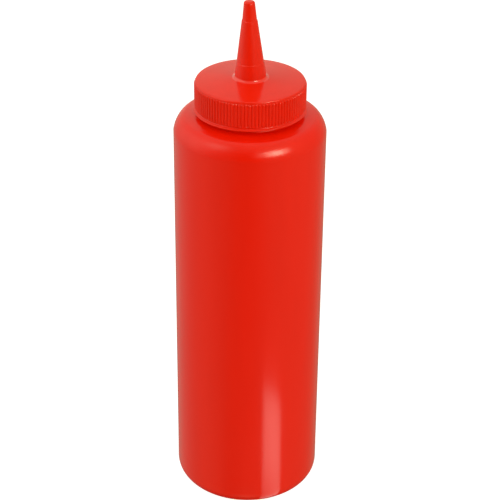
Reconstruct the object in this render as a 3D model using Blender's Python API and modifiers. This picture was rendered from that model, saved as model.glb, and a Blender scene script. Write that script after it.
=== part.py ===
"""Squeeze bottle for sauce: a round bottle and its one-piece ribbed cap with a closed nozzle.

The bottle stands on z = 0 with its axis on Z. Lengths are in metres and angles in degrees.
"""

import math

import bmesh
import bpy
from mathutils import Matrix

# Bottle
BODY_RADIUS = 0.0380
BASE_CORNER_RADIUS = 0.0077
SHOULDER_START = 0.2055
SHOULDER_RADIUS = 0.0104
SHOULDER_BEND_RADIUS = 0.0050
SHOULDER_SLOPE = 40.0
LAND_SLOPE = 10.0
STANDING_RING_WIDTH = 0.0030
PUSH_UP_HEIGHT = 0.0032
PUSH_UP_LIP = 0.0006
NECK_RADIUS = 0.0247
NECK_TOP = 0.2300
NECK_FILLET = 0.0012
NECK_CHAMFER = 0.0006

# Cap skirt, with heights from the rim's underside
CAP_SEAT = 0.2180
RIM_RADIUS = 0.02815
RIM_EDGE_RADIUS = 0.0002
RIM_LIP_HEIGHT = 0.00040
FLARE_HEIGHT = 0.0011
FLARE_RADIUS = 0.0004
WALL_RADIUS = 0.0270
EDGE_RADIUS = 0.0007
CLEARANCE = 0.0003

# Grip ribs
RIB_COUNT = 102
RIB_SIDES = 6
RIB_HALF_WIDTH = 0.00056
RIB_PROUD = 0.00048
RIB_BOTTOM = 0.0013
RIB_TOP = 0.0134
FRONT_RIB_ANGLE = -90.6

# Crowned top and nozzle, with heights from the rim's underside
CROWN_HEIGHT = 0.0164
CROWN_SLOPE = 5.7
NOZZLE_FILLET = 0.0012
COLLAR_BOTTOM_RADIUS = 0.00780
COLLAR_TOP_RADIUS = 0.00686
COLLAR_TOP = 0.0246
BARREL_BOTTOM_RADIUS = 0.00666
BARREL_TOP_RADIUS = 0.00380
BARREL_TOP = 0.04585
TIP_BOTTOM_RADIUS = 0.00358
TIP_TOP_RADIUS = 0.00262
TIP_ROUNDING = 0.0011
TIP_TOP = 0.0552
LEDGE_DROP = 0.00022

# Facets
TURN_STEPS = 72
CORNER_STEPS = 6
SMALL_CORNER_STEPS = 3
MERGE_DISTANCE = 0.00001


def clear_scene():
    """Remove every object, so that the script starts from nothing."""
    for item in list(bpy.data.objects):
        bpy.data.objects.remove(item, do_unlink=True)


def new_collection(name):
    """Make a collection linked to the scene."""
    collection = bpy.data.collections.new(name)
    bpy.context.scene.collection.children.link(collection)
    return collection


def plastic(name, colour, roughness):
    """Make an opaque moulded plastic."""
    material = bpy.data.materials.new(name)
    material.use_nodes = True
    shader = material.node_tree.nodes["Principled BSDF"]
    shader.inputs["Base Color"].default_value = (*colour, 1.0)
    shader.inputs["Roughness"].default_value = roughness
    shader.inputs["Metallic"].default_value = 0.0
    return material


def arc(centre, radius, start, end, steps):
    """Give points (r, z) along an arc, from the start angle to the end angle."""
    points = []
    for step in range(steps + 1):
        angle = math.radians(start + (end - start) * step / steps)
        r = centre[0] + radius * math.cos(angle)
        z = centre[1] + radius * math.sin(angle)
        points.append((r, z))
    return points


def crown(inner, outer, steps):
    """Give points (r, z) along a shallow parabola that falls from inner to outer."""
    fall = (inner[1] - outer[1]) / (outer[0] ** 2 - inner[0] ** 2)
    points = []
    for step in range(steps + 1):
        r = inner[0] + (outer[0] - inner[0]) * step / steps
        z = inner[1] - fall * (r ** 2 - inner[0] ** 2)
        points.append((r, z))
    return points


def turned(name, profile, collection, material):
    """Turn a profile of (r, z) points, top to bottom, about the object's Z axis."""
    points = [(r, 0.0, z) for r, z in profile]
    edges = [(index, index + 1) for index in range(len(points) - 1)]
    mesh = bpy.data.meshes.new(name)
    mesh.from_pydata(points, edges, [])
    mesh.materials.append(material)
    item = bpy.data.objects.new(name, mesh)
    collection.objects.link(item)
    screw = item.modifiers.new("Turn", "SCREW")
    screw.axis = "Z"
    screw.steps = TURN_STEPS
    screw.render_steps = TURN_STEPS
    screw.use_merge_vertices = True
    screw.merge_threshold = MERGE_DISTANCE
    screw.use_smooth_shade = True
    return item


def bottle_profile():
    """Run down the bottle: neck, sloping land, shoulder, wall, base corner, standing ring and push-up."""
    fall = math.tan(math.radians(LAND_SLOPE))
    join = math.radians(90.0 - SHOULDER_SLOPE)
    shoulder_centre = (BODY_RADIUS - SHOULDER_RADIUS, SHOULDER_START)
    inset = SHOULDER_RADIUS - SHOULDER_BEND_RADIUS
    bend_centre = (shoulder_centre[0] + inset * math.cos(join), shoulder_centre[1] + inset * math.sin(join))
    bend = arc(bend_centre, SHOULDER_BEND_RADIUS, 90.0 - LAND_SLOPE, 90.0 - SHOULDER_SLOPE, SMALL_CORNER_STEPS)
    fillet_r = NECK_RADIUS + NECK_FILLET
    land_height = bend[0][1] + (bend[0][0] - fillet_r) * fall
    neck_fillet_centre = (fillet_r, land_height + NECK_FILLET / math.cos(math.radians(LAND_SLOPE)))
    base_centre = (BODY_RADIUS - BASE_CORNER_RADIUS, BASE_CORNER_RADIUS)
    ring_outer = BODY_RADIUS - BASE_CORNER_RADIUS
    ring_inner = ring_outer - STANDING_RING_WIDTH
    push_up_foot = (ring_inner - PUSH_UP_LIP, PUSH_UP_LIP)

    profile = [(0.0, NECK_TOP)]
    profile += [(NECK_RADIUS - NECK_CHAMFER, NECK_TOP)]
    profile += [(NECK_RADIUS, NECK_TOP - NECK_CHAMFER)]
    profile += arc(neck_fillet_centre, NECK_FILLET, 180.0, 270.0 - LAND_SLOPE, SMALL_CORNER_STEPS)
    profile += bend
    profile += arc(shoulder_centre, SHOULDER_RADIUS, 90.0 - SHOULDER_SLOPE, 0.0, CORNER_STEPS)[1:]
    profile += arc(base_centre, BASE_CORNER_RADIUS, 0.0, -90.0, CORNER_STEPS)
    profile += [(ring_inner, 0.0)]
    profile += reversed(crown((0.0, PUSH_UP_HEIGHT), push_up_foot, SMALL_CORNER_STEPS))
    return profile


def nozzle_profile():
    """Run down the nozzle: rounded tip, tapering barrel with two ledges, collar and fillet."""
    rounding_centre = (TIP_TOP_RADIUS - TIP_ROUNDING, TIP_TOP - TIP_ROUNDING)
    fillet_centre = (COLLAR_BOTTOM_RADIUS + NOZZLE_FILLET, CROWN_HEIGHT + NOZZLE_FILLET)

    profile = [(0.0, TIP_TOP)]
    profile += arc(rounding_centre, TIP_ROUNDING, 90.0, 0.0, SMALL_CORNER_STEPS)
    profile += [(TIP_BOTTOM_RADIUS, BARREL_TOP)]
    profile += [(BARREL_TOP_RADIUS, BARREL_TOP - LEDGE_DROP)]
    profile += [(BARREL_BOTTOM_RADIUS, COLLAR_TOP)]
    profile += [(COLLAR_TOP_RADIUS, COLLAR_TOP - LEDGE_DROP)]
    profile += arc(fillet_centre, NOZZLE_FILLET, 180.0, 255.0, SMALL_CORNER_STEPS)
    return profile


def skirt_profile():
    """Run down the outside of the cap: crowned top, rounded edge, wall and flared rim."""
    foot = COLLAR_BOTTOM_RADIUS + NOZZLE_FILLET
    slope = math.radians(CROWN_SLOPE)
    skirt_height = CROWN_HEIGHT - (WALL_RADIUS - foot) * math.tan(slope)
    edge_drop = EDGE_RADIUS * (1.0 - math.sin(slope)) / math.cos(slope)
    edge_centre = (WALL_RADIUS - EDGE_RADIUS, skirt_height - edge_drop)
    flare_centre = (WALL_RADIUS + FLARE_RADIUS, FLARE_HEIGHT)
    rim_centre = (RIM_RADIUS - RIM_EDGE_RADIUS, RIM_EDGE_RADIUS)

    profile = [(foot, CROWN_HEIGHT)]
    profile += arc(edge_centre, EDGE_RADIUS, 90.0 - CROWN_SLOPE, 0.0, SMALL_CORNER_STEPS)
    profile += arc(flare_centre, FLARE_RADIUS, 180.0, 225.0, SMALL_CORNER_STEPS)
    profile += [(RIM_RADIUS, RIM_LIP_HEIGHT)]
    profile += arc(rim_centre, RIM_EDGE_RADIUS, 0.0, -90.0, SMALL_CORNER_STEPS)
    return profile


def recess_profile():
    """Run up the inside of the cap, a running clearance off the bottle's neck."""
    recess_radius = NECK_RADIUS + CLEARANCE
    recess_top = NECK_TOP + CLEARANCE - CAP_SEAT
    return [(recess_radius, 0.0), (recess_radius, recess_top), (0.0, recess_top)]


def rib_bars(collection, material):
    """Make the ring of grip ribs as flat-faced bars set half into the skirt's wall."""
    length = RIB_TOP - RIB_BOTTOM
    across = RIB_PROUD / RIB_HALF_WIDTH / math.cos(math.pi / RIB_SIDES)
    squash = Matrix.Diagonal((across, 1.0, 1.0, 1.0))
    place = Matrix.Translation((WALL_RADIUS, 0.0, (RIB_TOP + RIB_BOTTOM) / 2))

    ring = bmesh.new()
    for index in range(RIB_COUNT):
        angle = math.radians(FRONT_RIB_ANGLE + 360.0 * index / RIB_COUNT)
        turn = Matrix.Rotation(angle, 4, "Z")
        bmesh.ops.create_cone(
            ring, cap_ends=True, segments=RIB_SIDES, depth=length,
            radius1=RIB_HALF_WIDTH, radius2=RIB_HALF_WIDTH,
            matrix=turn @ place @ squash)
    mesh = bpy.data.meshes.new("rib_bars")
    ring.to_mesh(mesh)
    ring.free()
    mesh.materials.append(material)
    item = bpy.data.objects.new("rib_bars", mesh)
    collection.objects.link(item)
    item.hide_render = True
    item.display_type = "WIRE"
    return item


def make_bottle(collection):
    """Make the shut bottle as one solid."""
    material = plastic("bottle_plastic", (0.74, 0.013, 0.004), 0.28)
    return turned("bottle", bottle_profile(), collection, material)


def make_cap(collection, cutters):
    """Make the cap: a turned skirt and nozzle with the grip ribs joined on."""
    material = plastic("cap_plastic", (0.76, 0.014, 0.004), 0.24)
    profile = nozzle_profile() + skirt_profile() + recess_profile()
    cap = turned("cap", profile, collection, material)
    bars = rib_bars(cutters, material)
    join = cap.modifiers.new("Join ribs", "BOOLEAN")
    join.operation = "UNION"
    join.solver = "EXACT"
    join.object = bars
    cap.location = (0.0, 0.0, CAP_SEAT)
    bars.parent = cap
    return cap


def main():
    """Build the squeeze bottle."""
    clear_scene()
    parts = new_collection("squeeze_bottle")
    cutters = new_collection("cutters")
    origin = bpy.data.objects.new("squeeze_bottle_origin", None)
    parts.objects.link(origin)
    bottle = make_bottle(parts)
    cap = make_cap(parts, cutters)
    bottle.parent = origin
    cap.parent = origin


main()
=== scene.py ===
"""Looks of a squeeze bottle for sauce: a satin bottle, a glossy ribbed nozzle cap and a small studio.

Lengths are in metres. The bottle stands on z = 0 with its axis on Z, and the camera is at its front, -Y.
An azimuth counts in degrees from the front towards +X.
"""

import math

import bmesh
import bpy
from bpy.props import FloatProperty, FloatVectorProperty, IntProperty, PointerProperty
from mathutils import Matrix, Vector, noise


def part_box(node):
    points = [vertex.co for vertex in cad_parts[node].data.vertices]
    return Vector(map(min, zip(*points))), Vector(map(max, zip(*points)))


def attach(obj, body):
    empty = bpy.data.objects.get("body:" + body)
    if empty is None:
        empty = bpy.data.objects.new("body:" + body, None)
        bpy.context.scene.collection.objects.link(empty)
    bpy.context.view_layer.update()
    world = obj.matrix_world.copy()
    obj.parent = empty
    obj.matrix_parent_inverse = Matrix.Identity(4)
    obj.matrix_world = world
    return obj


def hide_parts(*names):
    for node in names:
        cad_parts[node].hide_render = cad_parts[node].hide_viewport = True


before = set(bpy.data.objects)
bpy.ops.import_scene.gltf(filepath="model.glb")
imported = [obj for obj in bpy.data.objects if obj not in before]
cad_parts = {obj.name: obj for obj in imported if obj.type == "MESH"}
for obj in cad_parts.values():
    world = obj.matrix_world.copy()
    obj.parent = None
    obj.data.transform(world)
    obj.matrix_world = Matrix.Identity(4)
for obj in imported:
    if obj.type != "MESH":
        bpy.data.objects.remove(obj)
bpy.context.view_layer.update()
BOTTLE_LOW, BOTTLE_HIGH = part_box("bottle")
CAP_LOW, CAP_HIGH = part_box("cap")

bl_info = {
    "name": "Squeeze Bottle",
    "version": (1, 0, 0),
    "blender": (4, 5, 0),
    "location": "3D View > Sidebar > Bottle",
    "description": "Makes a squeeze bottle with its nozzle cap, and a small studio",
    "category": "Object",
}

BODY = "root"
MERGE_DISTANCE = 0.000001
SMOOTH_ANGLE = math.radians(38.0)
PLASTIC_IOR = 1.50


# Settings

def length(name, description, default):
    """Declare a length that a user can change."""
    return FloatProperty(name=name, description=description, default=default,
                         min=0.0, unit="LENGTH", subtype="DISTANCE", precision=5)


def share(name, description, default):
    """Declare a number from 0 to 1."""
    return FloatProperty(name=name, description=description, default=default,
                         min=0.0, max=1.0, subtype="FACTOR")


def colour(name, description, default):
    """Declare a linear colour."""
    return FloatVectorProperty(name=name, description=description, default=default,
                               min=0.0, max=1.0, size=3, subtype="COLOR")


def watts(name, description, default):
    return FloatProperty(name=name, description=description, default=default,
                         min=0.0, unit="POWER")


def glow(name, description, default):
    return FloatProperty(name=name, description=description, default=default, min=0.0)


class BottleSettings(bpy.types.PropertyGroup):
    """Sizes and finish of the blow-moulded bottle"""

    radius: length("Radius", "Outside radius of the wall", BOTTLE_HIGH.x)
    shoulder_start: length("Shoulder Start", "Height at which the wall ends", 0.2055)
    shoulder_radius: length("Shoulder Radius", "Rounding above the wall", 0.0104)
    shoulder_bend: length("Shoulder Bend", "Tighter rounding up to the land under the cap", 0.0050)
    corner_radius: length("Corner Radius", "Rounding between wall and foot", 0.0077)
    ring_width: length("Ring Width", "Width of the flat ring that the bottle stands on", 0.0030)
    push_up: length("Push-up", "How far the middle of the underside is raised", 0.0032)
    neck_radius: length("Neck Radius", "Outside radius of the neck inside the cap", 0.0247)
    parting_relief: length("Parting Relief", "How far the mould's parting line stands proud", 0.00005)
    ripple: length("Ripple", "Depth of the slow waves in the moulded wall", 0.00004)
    plastic: colour("Colour", "Colour of the plastic", (0.905, 0.0100, 0.0003))
    roughness: share("Roughness", "Roughness of the satin wall", 0.20)


class CapSettings(bpy.types.PropertyGroup):
    """Sizes and finish of the one-piece cap with its nozzle"""

    seat: length("Seat", "Height of the rim's underside above the floor", CAP_LOW.z)
    rim_radius: length("Rim Radius", "Outside radius of the flared rim", CAP_HIGH.x)
    wall_radius: length("Wall Radius", "Radius of the wall between the ribs", 0.0270)
    crown_height: length("Crown Height", "From the rim's underside to the foot of the nozzle", 0.0164)
    crown_fall: share("Crown Fall", "Slope of the crown from the nozzle outwards", 0.0998)
    edge_radius: length("Edge Radius", "Rounding between the crown and the ribbed wall", 0.0007)
    rib_count: IntProperty(name="Ribs", description="Grip ribs round the wall",
                           default=102, min=12, max=200)
    rib_relief: length("Rib Relief", "How far the ribs stand proud of the wall", 0.00056)
    nozzle_radius: length("Nozzle Radius", "Radius of the nozzle's collar at its foot", 0.0078)
    nozzle_fillet: length("Nozzle Fillet", "Rounding between the nozzle and the crown", 0.0012)
    # Painted sheen: the foot ring's lighter, pinker colour stands in for the bright room that the ring
    # reflects.
    ring_painted_sheen_colour: colour("Ring Colour", "Colour of the polished ring round the nozzle's foot",
                        (1.0, 0.036, 0.026))
    ring_gloss: share("Ring Gloss", "How much more that ring shines than the rest", 1.0)
    tip_radius: length("Tip Radius", "Radius of the nozzle's tip", 0.00262)
    lean: length("Lean", "How far the nozzle's tip leans to -X", 0.00090)
    plastic: colour("Colour", "Colour of the plastic", (0.90, 0.0150, 0.0030))
    roughness: share("Roughness", "Roughness of the polished plastic", 0.14)


class StudioSettings(bpy.types.PropertyGroup):
    """Floor, lamps and camera"""

    floor_size: length("Floor Size", "Side of the square floor", 12.0)
    floor_colour: colour("Floor Colour", "Colour of the floor", (0.35, 0.35, 0.35))
    key_power: watts("Key", "Softbox at the front right", 2.1)
    side_power: watts("Side Key", "Narrow softbox beside the key", 0.35)
    sheen_power: watts("Sheen", "Strips that brighten the key in highlights alone", 3.3)
    fill_power: watts("Fill", "Wide matt fills together", 30.6)
    floor_glow: glow("Floor Glow", "Light that the floor gives off by itself", 0.94)
    card_glow: glow("Card", "Brightness of the card at the foot", 2.55)
    sky: glow("Surroundings", "Brightness of the room", 1.0)
    lens: FloatProperty(name="Lens", description="Focal length on a 36 mm sensor",
                        default=112.79, min=1.0, subtype="DISTANCE_CAMERA")


class SqueezeBottleSettings(bpy.types.PropertyGroup):
    """Every setting of the squeeze bottle"""

    bottle: PointerProperty(type=BottleSettings)
    cap: PointerProperty(type=CapSettings)
    studio: PointerProperty(type=StudioSettings)


# Shader maths

class Socket:
    """A node's output that adds Math nodes when it is used in an expression."""

    def __init__(self, shader, output):
        self.shader = shader
        self.output = output

    def maths(self, operation, first, second):
        """Add one Math node."""
        return self.shader.add("ShaderNodeMath", {"operation": operation}, {0: first, 1: second})

    def __add__(self, other):
        return self.maths("ADD", self, other)

    def __radd__(self, other):
        return self.maths("ADD", other, self)

    def __sub__(self, other):
        return self.maths("SUBTRACT", self, other)

    def __rsub__(self, other):
        return self.maths("SUBTRACT", other, self)

    def __mul__(self, other):
        return self.maths("MULTIPLY", self, other)

    def __rmul__(self, other):
        return self.maths("MULTIPLY", other, self)

    def __truediv__(self, other):
        return self.maths("DIVIDE", self, other)

    def __rtruediv__(self, other):
        return self.maths("DIVIDE", other, self)

    def __pow__(self, other):
        return self.maths("POWER", self, other)

    def __rpow__(self, other):
        return self.maths("POWER", other, self)


class Shader:
    """Fills a node tree."""

    def __init__(self, tree):
        self.tree = tree
        tree.nodes.clear()

    def add(self, kind, settings=None, inputs=None, output=0):
        """Add a node, set it, then give its sockets values or links."""
        node = self.tree.nodes.new(kind)
        for name, value in (settings or {}).items():
            setattr(node, name, value)
        for name, value in (inputs or {}).items():
            if isinstance(value, Socket):
                self.tree.links.new(value.output, node.inputs[name])
            else:
                node.inputs[name].default_value = value
        return Socket(self, node.outputs[output]) if node.outputs else None

    def place(self):
        """Give the piece's own coordinates."""
        return self.add("ShaderNodeTexCoord", output="Object")

    def stretched(self, vector, scale):
        """Scale a pattern's coordinates."""
        return self.add("ShaderNodeMapping", inputs={"Vector": vector, "Scale": scale})

    def grain(self, vector, scale, detail=2.0, roughness=0.5):
        """Give noise from 0 to 1."""
        return self.add("ShaderNodeTexNoise", inputs={
            "Vector": vector, "Scale": scale, "Detail": detail, "Roughness": roughness})

    def ramp(self, value, low, high, to_low=0.0, to_high=1.0):
        """Map a value smoothly from one range to another."""
        return self.add("ShaderNodeMapRange", {"interpolation_type": "SMOOTHSTEP"}, {
            "Value": value, "From Min": low, "From Max": high, "To Min": to_low, "To Max": to_high})

    def blend(self, factor, first, second):
        """Mix two colours."""
        return self.add("ShaderNodeMix", {"data_type": "RGBA"},
                        {0: factor, 6: first, 7: second}, output=2)

    def along(self, vector, way):
        """Measure a vector along a direction."""
        return self.add("ShaderNodeVectorMath", {"operation": "DOT_PRODUCT"},
                        {0: vector, 1: way}, output="Value")

    def parts(self, vector):
        """Split a vector into its x, y and z."""
        outputs = self.add("ShaderNodeSeparateXYZ", inputs={"Vector": vector}).output.node.outputs
        return [Socket(self, output) for output in outputs]


def opaque(values, strength=1.0):
    """Give a colour with its alpha."""
    return (values[0] * strength, values[1] * strength, values[2] * strength, 1.0)


def new_material(name):
    """Start a material and its shader."""
    material = bpy.data.materials.new(name)
    material.use_nodes = True
    return material, Shader(material.node_tree)


def show(item):
    """Put an object in the scene."""
    bpy.context.scene.collection.objects.link(item)
    return item


# Plastics

def bottle_plastic(settings):
    """Satin blow-moulded plastic: faint pigment streaks, an orange-peel skin and light rub marks."""
    material, shader = new_material("bottle_plastic")
    place = shader.place()

    streaks = shader.grain(shader.stretched(place, (60.0, 60.0, 9.0)), 1.0, 3.0)
    tint = shader.blend(shader.ramp(streaks, 0.3, 0.7),
                        opaque(settings.plastic, 0.975), opaque(settings.plastic, 1.02))
    peel = shader.grain(place, 520.0, 2.0)
    skin = shader.grain(place, 2600.0, 2.0)
    strokes = shader.grain(shader.stretched(place, (700.0, 700.0, 160.0)), 1.0, 4.0, 0.6)
    rubs = shader.ramp(strokes, 0.70, 0.82)
    cloudy = shader.grain(place, 45.0, 3.0)

    rough = settings.roughness + (cloudy - 0.5) * 0.04 + rubs * 0.04
    height = peel + skin * 0.10
    normal = shader.add("ShaderNodeBump", inputs={
        "Strength": 0.15, "Distance": 0.00012, "Height": height})
    surface = shader.add("ShaderNodeBsdfPrincipled", inputs={
        "Base Color": tint, "Roughness": rough, "Normal": normal, "IOR": PLASTIC_IOR})
    shader.add("ShaderNodeOutputMaterial", inputs={"Surface": surface})
    return material


def nozzle_ring_gloss_and_painted_sheen(shader, place, settings):
    """Mark the ring round the nozzle's foot, where the mould is polished. It gets a clear coat, and its
    lighter colour is painted sheen.
    """
    x, y, z = shader.parts(place)
    radius = (x * x + y * y) ** 0.5
    foot = settings.seat + settings.crown_height
    outer = settings.nozzle_radius + settings.nozzle_fillet
    near = shader.ramp(radius, outer, outer + 0.0001, 1.0, 0.0)
    low = shader.ramp(z, foot + 0.8 * settings.nozzle_fillet, foot + settings.nozzle_fillet, 1.0, 0.0)
    return near * low


def cap_plastic(settings):
    """Polished injection-moulded plastic: faint flow marks, fine scuffs and a painted sheen on the ring
    round the nozzle's foot.
    """
    material, shader = new_material("cap_plastic")
    place = shader.place()

    flow = shader.grain(shader.stretched(place, (110.0, 110.0, 40.0)), 1.0, 3.0)
    tint = shader.blend(shader.ramp(flow, 0.3, 0.7),
                        opaque(settings.plastic, 0.98), opaque(settings.plastic, 1.015))
    strokes = shader.grain(shader.stretched(place, (1500.0, 500.0, 900.0)), 1.0, 4.0, 0.6)
    scuffs = shader.ramp(strokes, 0.62, 0.80)
    skin = shader.grain(place, 1900.0, 2.0)

    ring = nozzle_ring_gloss_and_painted_sheen(shader, place, settings)
    # Painted sheen: the ring round the nozzle's foot is coloured lighter and pinker in place of the
    # bright room it reflects; its clear coat below is real gloss.
    tint = shader.blend(ring, tint, opaque(settings.ring_painted_sheen_colour))
    rough = settings.roughness + scuffs * 0.05 + (skin - 0.5) * 0.03
    normal = shader.add("ShaderNodeBump", inputs={
        "Strength": 0.06, "Distance": 0.00006, "Height": skin})
    surface = shader.add("ShaderNodeBsdfPrincipled", inputs={
        "Base Color": tint, "Roughness": rough, "Normal": normal, "IOR": PLASTIC_IOR,
        "Coat Weight": ring * settings.ring_gloss, "Coat IOR": PLASTIC_IOR, "Coat Roughness": 0.06})
    shader.add("ShaderNodeOutputMaterial", inputs={"Surface": surface})
    return material


# Turned shapes

def draw_outline(bm, corners):
    """Join (r, z) corners in order as a wire in the XZ plane."""
    verts = [bm.verts.new((r, 0.0, z)) for r, z in corners]
    for first, second in zip(verts, verts[1:]):
        bm.edges.new((first, second))
    return verts


def round_corner(bm, vert, radius, segments):
    """Round one corner of an outline with an arc that touches both of its sides."""
    arms = [edge.other_vert(vert).co - vert.co for edge in vert.link_edges]
    reach = radius / math.tan(arms[0].angle(arms[1]) / 2)
    bmesh.ops.bevel(bm, geom=[vert], offset=reach, offset_type="OFFSET", affect="VERTICES",
                    segments=segments, profile=0.5, material=-1)


def spin_outline(bm, steps):
    """Turn the outline once about Z."""
    bmesh.ops.spin(bm, geom=bm.verts[:] + bm.edges[:], cent=(0.0, 0.0, 0.0), axis=(0.0, 0.0, 1.0),
                   dvec=(0.0, 0.0, 0.0), angle=math.tau, steps=steps, use_merge=True)


def finish_piece(bm, name, material, node):
    """Close the mesh and turn its faces out, then put it in the scene in place of its CAD node."""
    bmesh.ops.remove_doubles(bm, verts=bm.verts[:], dist=MERGE_DISTANCE)
    bmesh.ops.dissolve_degenerate(bm, edges=bm.edges[:], dist=MERGE_DISTANCE)
    bmesh.ops.recalc_face_normals(bm, faces=bm.faces[:])
    if not all(edge.is_manifold for edge in bm.edges):
        raise RuntimeError(f"{name} isn't closed")
    if bm.calc_volume(signed=True) <= 0.0:
        raise RuntimeError(f"{name} is inside out")
    for face in bm.faces:
        face.smooth = True
    mesh = bpy.data.meshes.new(name)
    bm.to_mesh(mesh)
    bm.free()
    mesh.materials.append(material)
    mesh.set_sharp_from_angle(angle=SMOOTH_ANGLE)
    piece = show(bpy.data.objects.new(name, mesh))
    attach(piece, BODY)
    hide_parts(node)


# Bottle

WALL_STEPS = 240
WALL_ROWS = 24
SHOULDER_STEPS = 16
SHOULDER_SLOPE = math.radians(40.0)
LAND_SLOPE = math.radians(10.0)
BEND_STEPS = 10
NECK_FOOT_ROUNDING = 0.0012
NECK_TOP_ROUNDING = 0.0006
FOOT_STEPS = 16
ARCH_FOOT_REACH = 0.0012
ARCH_FOOT_ROUNDING = 0.0012
ARCH_STEPS = 10
RING_ROUNDING = 0.0003
ARC_SHARE = 0.999
PARTING_CUTS = (0.00045, 0.00018)
PARTING_FROM = 0.029
RIPPLE_ROUND = 34.0
RIPPLE_UP = 16.0
RIPPLE_FADE = 0.012


def arch_points(inner, outer, steps):
    """Give points (r, z) along a shallow parabola from inner to outer, both ends left out."""
    fall = (inner[1] - outer[1]) / (outer[0] ** 2 - inner[0] ** 2)
    points = []
    for step in range(1, steps):
        r = inner[0] + (outer[0] - inner[0]) * step / steps
        points.append((r, inner[1] - fall * (r ** 2 - inner[0] ** 2)))
    return points


def bottle_outline(bm, sizes):
    """Draw the bottle from the top of its neck down its wall to the middle of its underside."""
    wall = sizes.radius - sizes.parting_relief
    ring_outer = wall - sizes.corner_radius
    ring_inner = ring_outer - sizes.ring_width
    arch_foot = (ring_inner - ARCH_FOOT_REACH, ARCH_FOOT_REACH)
    arch_top = (0.0, sizes.push_up)

    touch = sizes.shoulder_radius * math.tan((math.pi / 2 - SHOULDER_SLOPE) / 2)
    rise = touch + sizes.shoulder_bend * math.tan((SHOULDER_SLOPE - LAND_SLOPE) / 2)
    shoulder = (wall, sizes.shoulder_start + touch)
    bend = (wall - rise * math.cos(SHOULDER_SLOPE), shoulder[1] + rise * math.sin(SHOULDER_SLOPE))
    neck_foot = bend[1] + (bend[0] - sizes.neck_radius) * math.tan(LAND_SLOPE)

    low = sizes.corner_radius
    high = sizes.shoulder_start
    wall_rows = [(wall, high + (low - high) * row / WALL_ROWS) for row in range(1, WALL_ROWS)]
    arch = list(reversed(arch_points(arch_top, arch_foot, ARCH_STEPS)))
    corners = [(0.0, BOTTLE_HIGH.z), (sizes.neck_radius, BOTTLE_HIGH.z),
               (sizes.neck_radius, neck_foot), bend, shoulder]
    corners += wall_rows
    corners += [(wall, 0.0), (ring_inner, 0.0), arch_foot, *arch, arch_top]
    verts = draw_outline(bm, corners)

    foot = 5 + len(wall_rows)
    round_corner(bm, verts[foot + 2], ARCH_FOOT_ROUNDING, 4)
    round_corner(bm, verts[foot + 1], RING_ROUNDING, 3)
    round_corner(bm, verts[foot], sizes.corner_radius * ARC_SHARE, FOOT_STEPS)
    round_corner(bm, verts[4], sizes.shoulder_radius * ARC_SHARE, SHOULDER_STEPS)
    round_corner(bm, verts[3], sizes.shoulder_bend * ARC_SHARE, BEND_STEPS)
    round_corner(bm, verts[2], NECK_FOOT_ROUNDING, 5)
    round_corner(bm, verts[1], NECK_TOP_ROUNDING, 4)


def raise_parting_line(bm, relief):
    """Cut narrow strips along the two sides and lift their middle, as the mould's halves leave it."""
    for offset in PARTING_CUTS:
        for side in (-1.0, 1.0):
            geometry = bm.verts[:] + bm.edges[:] + bm.faces[:]
            bmesh.ops.bisect_plane(bm, geom=geometry, dist=MERGE_DISTANCE,
                                   plane_co=(0.0, side * offset, 0.0), plane_no=(0.0, 1.0, 0.0))
    bm.normal_update()
    for vert in bm.verts:
        on_line = abs(vert.co.y) <= PARTING_CUTS[1] * 1.01
        if on_line and math.hypot(vert.co.x, vert.co.y) > PARTING_FROM:
            vert.co.x += math.copysign(relief, vert.co.x)


def ripple_wall(bm, sizes):
    """Draw the wall in by slow shallow waves, as a blown wall cools unevenly."""
    low = sizes.corner_radius
    high = sizes.shoulder_start
    for vert in bm.verts:
        radius = math.hypot(vert.co.x, vert.co.y)
        inside = min(vert.co.z - low, high - vert.co.z) / RIPPLE_FADE
        if inside <= 0.0 or radius < sizes.neck_radius:
            continue
        x, y, z = vert.co
        wave = noise.noise(Vector((x * RIPPLE_ROUND, y * RIPPLE_ROUND, z * RIPPLE_UP)))
        draw = sizes.ripple * (0.5 + 0.5 * wave) * min(inside, 1.0)
        vert.co.x *= 1.0 - draw / radius
        vert.co.y *= 1.0 - draw / radius


class SQUEEZE_OT_make_bottle(bpy.types.Operator):
    """Make the blow-moulded bottle with its shoulder, foot and parting line"""

    bl_idname = "squeeze.make_bottle"
    bl_label = "Make Bottle"
    bl_options = {"REGISTER", "UNDO"}

    def execute(self, context):
        sizes = context.scene.squeeze_bottle.bottle
        bm = bmesh.new()
        bottle_outline(bm, sizes)
        spin_outline(bm, WALL_STEPS)
        bmesh.ops.remove_doubles(bm, verts=bm.verts[:], dist=MERGE_DISTANCE)
        ripple_wall(bm, sizes)
        raise_parting_line(bm, sizes.parting_relief)
        finish_piece(bm, "squeeze_body", bottle_plastic(sizes), "bottle")
        return {"FINISHED"}


# Cap

STEPS_PER_RIB = 8
JOIN_RADIUS = 0.0228
CLEARANCE = 0.0003

# Heights on the cap count from the rim's underside
RIB_HALF_WIDTH = 0.00066
RIB_FOOT = 0.0013
RIB_TOP = 0.0136
RIB_CREST = 0.6
RIB_ROWS = (0.0136, 0.0135, 0.0134, 0.0132, 0.0130, 0.0127,
            0.0022, 0.00196, 0.0017, 0.0015, 0.0013, 0.0012)
FRONT_RIB_ANGLE = math.radians(-90.6)
FLARE_TOP = 0.00087
FLARE_ROUNDING = 0.0004
LIP_TOP = 0.00040
LIP_LEAN = 0.00005
LIP_TOP_ROUNDING = 0.00005
LIP_FOOT_ROUNDING = 0.00012
RECESS_ROUNDING = 0.0004
EDGE_STEPS = 10
LEDGE_DROP = 0.00028
LEDGE_ROUNDING = 0.00006
UPPER_LEDGE = 0.04585
UPPER_LEDGE_RADII = (0.00355, 0.00383)
LOWER_LEDGE = 0.0246
LOWER_LEDGE_RADII = (0.00664, 0.00690)
FILLET_STEPS = 10
TIP_ROUNDING = 0.0011
TIP_STEPS = 8
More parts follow.
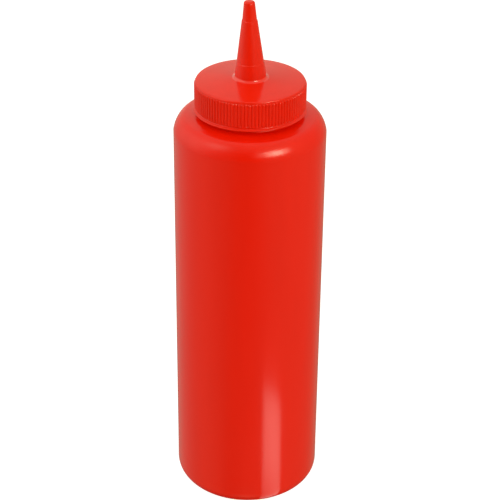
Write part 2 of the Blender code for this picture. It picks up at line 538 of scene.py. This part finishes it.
CROWN_ROWS = 7


def crown_height(sizes, r):
    """Give the crown's height at radius r, from the rim's underside."""
    return sizes.crown_height - sizes.crown_fall * (r - sizes.nozzle_radius - sizes.nozzle_fillet)


def skirt_outline(bm, sizes):
    """Draw the skirt from the crown's rim down the ribbed wall and up the recess for the neck."""
    seat = sizes.seat
    recess = neck_radius() + CLEARANCE
    recess_top = BOTTLE_HIGH.z + CLEARANCE
    wall = sizes.wall_radius
    corners = [(r, seat + crown_height(sizes, r)) for r in (JOIN_RADIUS, wall)]
    corners += [(wall, seat + row) for row in RIB_ROWS]
    corners += [(wall, seat + FLARE_TOP), (sizes.rim_radius - LIP_LEAN, seat + LIP_TOP),
                (sizes.rim_radius, seat), (recess, seat), (recess, recess_top), (0.0, recess_top)]
    verts = draw_outline(bm, corners)

    flare = 2 + len(RIB_ROWS)
    round_corner(bm, verts[flare + 3], RECESS_ROUNDING, 3)
    round_corner(bm, verts[flare + 2], LIP_FOOT_ROUNDING, 3)
    round_corner(bm, verts[flare + 1], LIP_TOP_ROUNDING, 2)
    round_corner(bm, verts[flare], FLARE_ROUNDING, 6)
    round_corner(bm, verts[1], sizes.edge_radius, EDGE_STEPS)


def neck_radius():
    """Give the radius of the neck that the cap sits over."""
    return bpy.context.scene.squeeze_bottle.bottle.neck_radius


def raise_ribs(bm, sizes):
    """Push the wall out into ribs with round ends and a soft crest."""
    pitch = math.tau / sizes.rib_count
    foot_centre = sizes.seat + RIB_FOOT + RIB_HALF_WIDTH
    top_centre = sizes.seat + RIB_TOP - RIB_HALF_WIDTH
    for vert in bm.verts:
        radius = math.hypot(vert.co.x, vert.co.y)
        if abs(radius - sizes.wall_radius) > 2 * MERGE_DISTANCE:
            continue
        angle = math.atan2(vert.co.y, vert.co.x) - FRONT_RIB_ANGLE
        across = ((angle / pitch + 0.5) % 1.0 - 0.5) * pitch * sizes.wall_radius
        beyond = max(foot_centre - vert.co.z, vert.co.z - top_centre, 0.0)
        reach = min(math.hypot(across, beyond) / RIB_HALF_WIDTH, 1.0)
        height = sizes.rib_relief * (1.0 - reach ** 2) ** RIB_CREST
        vert.co.x *= 1.0 + height / radius
        vert.co.y *= 1.0 + height / radius


def nozzle_outline(bm, sizes):
    """Draw the nozzle from its tip down the barrel and collar and out over the crown."""
    seat = sizes.seat
    tip = sizes.tip_radius
    foot = sizes.nozzle_radius
    corners = [(0.0, CAP_HIGH.z), (tip, CAP_HIGH.z)]
    for height, (above, below) in ((UPPER_LEDGE, UPPER_LEDGE_RADII), (LOWER_LEDGE, LOWER_LEDGE_RADII)):
        corners += [(above, seat + height), (below, seat + height - LEDGE_DROP)]
    corners.append((foot, seat + crown_height(sizes, foot)))
    crown_start = foot + sizes.nozzle_fillet
    for step in range(1, CROWN_ROWS + 1):
        r = crown_start + (JOIN_RADIUS - crown_start) * step / CROWN_ROWS
        corners.append((r, seat + crown_height(sizes, r)))
    verts = draw_outline(bm, corners)

    round_corner(bm, verts[6], sizes.nozzle_fillet, FILLET_STEPS)
    for ledge_corner in (5, 4, 3, 2):
        round_corner(bm, verts[ledge_corner], LEDGE_ROUNDING, 2)
    round_corner(bm, verts[1], TIP_ROUNDING, TIP_STEPS)


def lean_nozzle(bm, sizes):
    """Shear the nozzle a little to -X above its collar."""
    start = sizes.seat + sizes.crown_height
    for vert in bm.verts:
        rise = (vert.co.z - start) / (CAP_HIGH.z - start)
        if rise > 0.0:
            vert.co.x -= sizes.lean * rise


class SQUEEZE_OT_make_cap(bpy.types.Operator):
    """Make the one-piece cap with its grip ribs, crowned top and closed nozzle"""

    bl_idname = "squeeze.make_cap"
    bl_label = "Make Cap"
    bl_options = {"REGISTER", "UNDO"}

    def execute(self, context):
        sizes = context.scene.squeeze_bottle.cap
        bm = bmesh.new()
        nozzle_outline(bm, sizes)
        skirt_outline(bm, sizes)
        bmesh.ops.remove_doubles(bm, verts=bm.verts[:], dist=MERGE_DISTANCE)
        spin_outline(bm, sizes.rib_count * STEPS_PER_RIB)
        turn = Matrix.Rotation(FRONT_RIB_ANGLE, 3, "Z")
        bmesh.ops.rotate(bm, verts=bm.verts[:], cent=(0.0, 0.0, 0.0), matrix=turn)
        bmesh.ops.remove_doubles(bm, verts=bm.verts[:], dist=MERGE_DISTANCE)
        raise_ribs(bm, sizes)
        lean_nozzle(bm, sizes)
        finish_piece(bm, "nozzle_cap", cap_plastic(sizes), "cap")
        return {"FINISHED"}


# Studio

AIM = Vector((0.0, 0.0, 0.137))
LAMP_DISTANCE = 1.2
SHEEN_DISTANCE = 1.16
WHITE = (1.0, 1.0, 1.0)
LAMP_TINT = (1.0, 0.97, 0.73)
ROOM_TINT = (1.0, 0.97, 0.61)
CARD_TINT = (1.0, 0.97, 0.84)
COOL_TINT = (1.0, 0.97, 0.82)
KEY_DIRECTION = (42.0, 25.5)
KEY_SIZE = (0.69, 0.42)
SIDE_KEY_DIRECTION = (18.0, 25.0)
SIDE_KEY_SIZE = (0.33, 0.42)

# Name, azimuth and share of the power
SHEEN_SIZE = (0.25, 0.34)
SHEEN_STRIPS = (
    ("sheen_left", 31.0, 0.270),
    ("sheen_middle", 42.0, 0.640),
    ("sheen_right", 54.0, 0.090),
)

# Name, azimuth, elevation and share of the power
FILL_SIZE = (2.0, 2.0)
FILLS = (
    ("top_fill", 0.0, 80.0, 0.247),
    ("left_fill", -60.0, 10.0, 0.168),
    ("right_fill", 60.0, 10.0, 0.174),
    ("low_fill", 0.0, -40.0, 0.169),
    ("low_left_fill", -60.0, -20.0, 0.064),
    ("low_right_fill", 60.0, -20.0, 0.168),
)

CARD_HEIGHT = 0.0005
CARD_CORNERS = ((0.0070, -0.0353), (0.0184, -0.033), (0.093, -0.084), (0.088, -0.104), (0.058, -0.136))
CARD_AZIMUTH = 34.5
CARD_FADE = 4.25
CARD_NEAR = 0.045
CARD_FAR = 0.080
CARD_NEAR_SHARE = 0.76

# Azimuth, elevation, sharpness and strength
COOL_GLOWS = (
    (-120.0, 0.0, 32.0, 0.158),
    (-120.0, 20.0, 4.0, 0.351),
    (-125.0, -32.0, 32.0, 0.160),
    (-150.0, -32.0, 64.0, 0.168),
    (-170.0, 0.0, 32.0, 0.245),
    (-60.0, 40.0, 64.0, 1.150),
    (-90.0, 20.0, 16.0, 0.616),
    (150.0, -32.0, 64.0, 0.091),
    (180.0, 0.0, 16.0, 0.150),
    (180.0, 60.0, 4.0, 0.420),
)
WARM_GLOWS = (
    (-60.0, -40.0, 32.0, 0.186),
    (-90.0, -40.0, 16.0, 0.154),
    (0.0, -55.0, 64.0, 0.500),
    (120.0, -20.0, 4.0, 0.242),
    (60.0, -40.0, 32.0, 0.131),
    (60.0, 40.0, 8.0, 0.296),
)

CAMERA_DISTANCE = 0.70372
CAMERA_HEIGHT = 0.53838
CAMERA_PITCH = 29.68
CAMERA_ROLL = 0.5895
CAMERA_YAW = -0.05


def direction(azimuth, elevation):
    """Give the unit vector towards an azimuth and elevation in degrees."""
    a = math.radians(azimuth)
    e = math.radians(elevation)
    return Vector((math.sin(a) * math.cos(e), -math.cos(a) * math.cos(e), math.sin(e)))


def make_lamp(name, azimuth, elevation, size, power, tint, distance=LAMP_DISTANCE):
    """Hang a rectangular softbox that faces the bottle and doesn't show."""
    lamp = bpy.data.lights.new(name, "AREA")
    lamp.shape = "RECTANGLE"
    lamp.size = size[0]
    lamp.size_y = size[1]
    lamp.energy = power
    lamp.color = tint
    item = show(bpy.data.objects.new(name, lamp))
    towards = direction(azimuth, elevation)
    item.location = AIM + towards * distance
    item.rotation_euler = towards.to_track_quat("Z", "Y").to_euler()
    item.visible_camera = False
    return item


def make_card(settings):
    """Lay a small glowing card beside the foot. It shows only as the streak low on the wall."""
    bm = bmesh.new()
    bm.faces.new([bm.verts.new((x, y, CARD_HEIGHT)) for x, y in CARD_CORNERS])
    mesh = bpy.data.meshes.new("card")
    bm.to_mesh(mesh)
    bm.free()
    material, shader = new_material("card")
    place = shader.place()
    reach = shader.along(place, direction(CARD_AZIMUTH, 0.0))
    aside = shader.along(place, direction(CARD_AZIMUTH + 90.0, 0.0))
    level = 1.0 - (aside / reach) ** 2.0 * CARD_FADE
    level = level * shader.ramp(reach, CARD_NEAR, CARD_FAR, CARD_NEAR_SHARE, 1.0)
    surface = shader.add("ShaderNodeEmission", inputs={
        "Color": opaque(CARD_TINT), "Strength": level * settings.card_glow})
    shader.add("ShaderNodeOutputMaterial", inputs={"Surface": surface})
    mesh.materials.append(material)
    card = show(bpy.data.objects.new("card", mesh))
    card.visible_camera = False
    card.visible_diffuse = False
    card.visible_shadow = False


def glow_level(shader, way, glows):
    """Add up soft glows, each given by its azimuth, elevation, sharpness and strength."""
    level = 0.0
    for azimuth, elevation, sharpness, strength in glows:
        facing = shader.along(way, direction(azimuth, elevation))
        level = level + strength * (facing * 0.5 + 0.5) ** sharpness
    return level


def make_room(settings):
    """Light the room softly: dark low in front, brighter to the sides, back and above."""
    world = bpy.data.worlds.new("studio_room")
    bpy.context.scene.world = world
    world.use_nodes = True
    shader = Shader(world.node_tree)
    way = shader.add("ShaderNodeTexCoord", output="Generated")

    halves = []
    for tint, glows in ((COOL_TINT, COOL_GLOWS), (ROOM_TINT, WARM_GLOWS)):
        level = settings.sky * glow_level(shader, way, glows)
        half = shader.add("ShaderNodeBackground", inputs={"Color": opaque(tint), "Strength": level})
        halves.append(half)
    background = shader.add("ShaderNodeAddShader", inputs={0: halves[0], 1: halves[1]})
    backdrop = shader.add("ShaderNodeBackground", inputs={"Color": opaque(WHITE), "Strength": 1.0})
    seen = shader.add("ShaderNodeLightPath", output="Is Camera Ray")
    both = shader.add("ShaderNodeMixShader", inputs={0: seen, 1: background, 2: backdrop})
    shader.add("ShaderNodeOutputWorld", inputs={"Surface": both})


def make_floor(settings):
    """Lay the plain pale floor. It keeps out of reflections, so that the plastic stays deep red."""
    bm = bmesh.new()
    bmesh.ops.create_grid(bm, x_segments=2, y_segments=2, size=settings.floor_size / 2)
    mesh = bpy.data.meshes.new("floor")
    bm.to_mesh(mesh)
    bm.free()
    material, shader = new_material("floor")
    surface = shader.add("ShaderNodeBsdfPrincipled", inputs={
        "Base Color": opaque(settings.floor_colour), "Roughness": 0.9,
        "Emission Color": opaque(WHITE), "Emission Strength": settings.floor_glow})
    shader.add("ShaderNodeOutputMaterial", inputs={"Surface": surface})
    mesh.materials.append(material)
    floor = show(bpy.data.objects.new("floor", mesh))
    floor.visible_glossy = False
    floor.visible_diffuse = False
    floor.visible_shadow = False


def make_camera(settings):
    """Stand the camera in front, looking down on the bottle."""
    data = bpy.data.cameras.new("camera")
    data.sensor_width = 36.0
    data.lens = settings.lens
    data.clip_start = 0.01
    data.clip_end = 50.0
    camera = show(bpy.data.objects.new("camera", data))
    place = Matrix.Translation((0.0, -CAMERA_DISTANCE, CAMERA_HEIGHT))
    yaw = Matrix.Rotation(math.radians(CAMERA_YAW), 4, "Z")
    pitch = Matrix.Rotation(math.radians(90.0 - CAMERA_PITCH), 4, "X")
    roll = Matrix.Rotation(math.radians(CAMERA_ROLL), 4, "Z")
    camera.matrix_world = place @ yaw @ pitch @ roll
    bpy.context.scene.camera = camera


class SQUEEZE_OT_make_studio(bpy.types.Operator):
    """Make the pale floor, the soft lights, the room and the camera"""

    bl_idname = "squeeze.make_studio"
    bl_label = "Make Studio"
    bl_options = {"REGISTER", "UNDO"}

    def execute(self, context):
        settings = context.scene.squeeze_bottle.studio
        make_camera(settings)
        make_floor(settings)
        make_card(settings)
        make_room(settings)
        make_lamp("key_softbox", *KEY_DIRECTION, KEY_SIZE, settings.key_power, LAMP_TINT)
        make_lamp("side_key", *SIDE_KEY_DIRECTION, SIDE_KEY_SIZE, settings.side_power, LAMP_TINT)
        for name, azimuth, part in SHEEN_STRIPS:
            power = settings.sheen_power * part
            sheen = make_lamp(name, azimuth, KEY_DIRECTION[1], SHEEN_SIZE, power, LAMP_TINT,
                              SHEEN_DISTANCE)
            sheen.visible_diffuse = False
        for name, azimuth, elevation, part in FILLS:
            fill = make_lamp(name, azimuth, elevation, FILL_SIZE, settings.fill_power * part, ROOM_TINT)
            fill.visible_glossy = False
        context.scene.view_settings.view_transform = "Standard"
        return {"FINISHED"}


# Sidebar

MAKERS = (SQUEEZE_OT_make_bottle, SQUEEZE_OT_make_cap, SQUEEZE_OT_make_studio)


class SQUEEZE_PT_makers(bpy.types.Panel):
    """Lists the makers with their settings"""

    bl_idname = "SQUEEZE_PT_makers"
    bl_label = "Squeeze Bottle"
    bl_space_type = "VIEW_3D"
    bl_region_type = "UI"
    bl_category = "Bottle"

    def draw(self, context):
        settings = context.scene.squeeze_bottle
        groups = (settings.bottle, settings.cap, settings.studio)
        for maker, group in zip(MAKERS, groups):
            box = self.layout.box()
            box.operator(maker.bl_idname)
            for name in group.__annotations__:
                box.prop(group, name)


CLASSES = (BottleSettings, CapSettings, StudioSettings, SqueezeBottleSettings, *MAKERS, SQUEEZE_PT_makers)


def register():
    """Register the classes and hang the settings on the scene."""
    for item in CLASSES:
        bpy.utils.register_class(item)
    bpy.types.Scene.squeeze_bottle = PointerProperty(type=SqueezeBottleSettings)


def unregister():
    """Undo register."""
    del bpy.types.Scene.squeeze_bottle
    for item in reversed(CLASSES):
        bpy.utils.unregister_class(item)


def main():
    """Make the studio and the pieces."""
    register()
    bpy.ops.squeeze.make_studio()
    bpy.ops.squeeze.make_bottle()
    bpy.ops.squeeze.make_cap()


if __name__ == "__main__":
    main()
